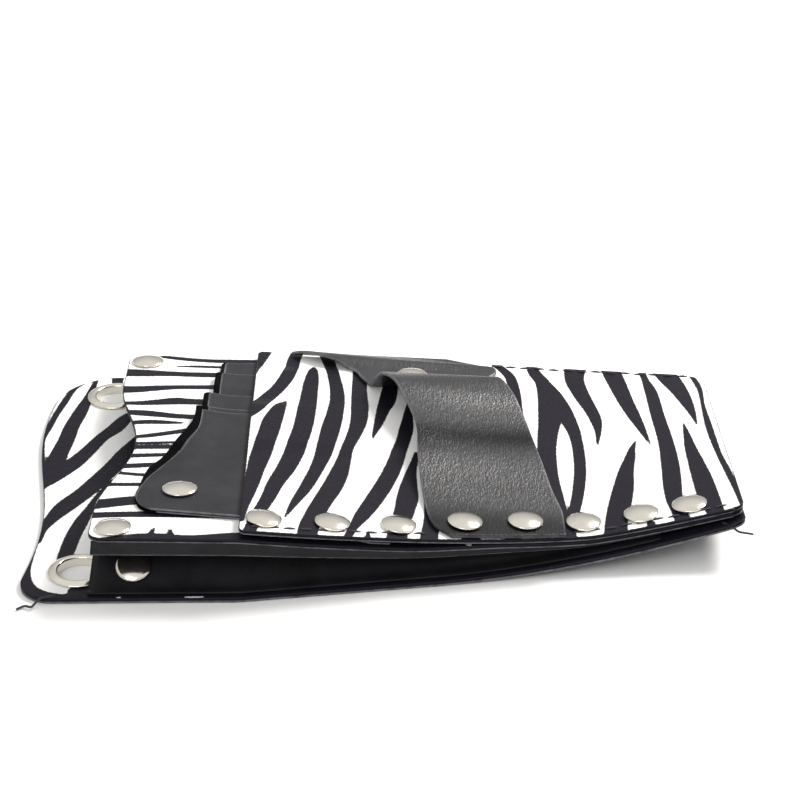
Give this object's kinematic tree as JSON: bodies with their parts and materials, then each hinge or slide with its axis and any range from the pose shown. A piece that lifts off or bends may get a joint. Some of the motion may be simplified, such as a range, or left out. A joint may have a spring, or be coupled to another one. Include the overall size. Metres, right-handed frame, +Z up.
{
  "type": "shears holster",
  "caption": "Zebra-print leather holster pouch for hair cutting shears, with cascading slots, a rear pocket, a looped strap, riveted seams and belt eyelets.",
  "frame": {"origin": "under the middle of the outline, on the surface that the holster lies on", "axes": "+X from the belt flap to the tip, +Y across to the far side, +Z up out of the front panel"},
  "size_m": [0.25, 0.162, 0.0305],
  "materials": {
    "printed_leather": "smooth coated leather, white with black zebra stripes",
    "black_lining": "matt black backing leather",
    "smooth_leather": "smooth charcoal leather with a soft sheen",
    "grained_leather": "pebbled black leather, satin",
    "nickel": "polished nickel"
  },
  "bodies": {
    "back": {"back_panel": "printed_leather", "back_lining": "black_lining", "near_gusset": "black_lining", "far_gusset": "black_lining", "near_eyelet": "nickel", "far_eyelet": "nickel", "near_eyelet_ring": "nickel", "far_eyelet_ring": "nickel", "near_gusset_rivet_cap": "nickel", "near_gusset_rivet_washer": "nickel", "far_gusset_rivet_cap": "nickel", "far_gusset_rivet_washer": "nickel"},
    "front": {"mid_panel": "printed_leather", "mid_lining": "black_lining", "front_panel": "printed_leather", "front_lining": "black_lining", "slot_ply_1": "smooth_leather", "slot_backing_ply": "smooth_leather", "slot_ply_2": "smooth_leather", "slot_ply_3": "smooth_leather", "slot_ply_4": "smooth_leather", "strap": "grained_leather", "seam_rivet_1_cap": "nickel", "seam_rivet_1_washer": "nickel", "seam_rivet_2_cap": "nickel", "seam_rivet_2_washer": "nickel", "seam_rivet_3_cap": "nickel", "seam_rivet_3_washer": "nickel", "seam_rivet_4_cap": "nickel", "seam_rivet_4_washer": "nickel", "seam_rivet_5_cap": "nickel", "seam_rivet_5_washer": "nickel", "seam_rivet_6_cap": "nickel", "seam_rivet_6_washer": "nickel", "seam_rivet_7_cap": "nickel", "seam_rivet_7_washer": "nickel", "seam_rivet_8_cap": "nickel", "seam_rivet_8_washer": "nickel", "slot_rivet_cap": "nickel", "slot_rivet_washer": "nickel", "near_corner_rivet_cap": "nickel", "near_corner_rivet_washer": "nickel", "far_corner_rivet_cap": "nickel", "far_corner_rivet_washer": "nickel", "strap_rivet_cap": "nickel", "strap_rivet_washer": "nickel"}
  },
  "joints": [
    {"name": "rear_pocket", "type": "hinge", "parent": "back", "child": "front", "pos_m": [0.127, 0, 0.0137], "axis": [0, 1, 0], "range_deg": [-0.8, 5], "deforming": ["near_gusset", "far_gusset"]}
  ]
}
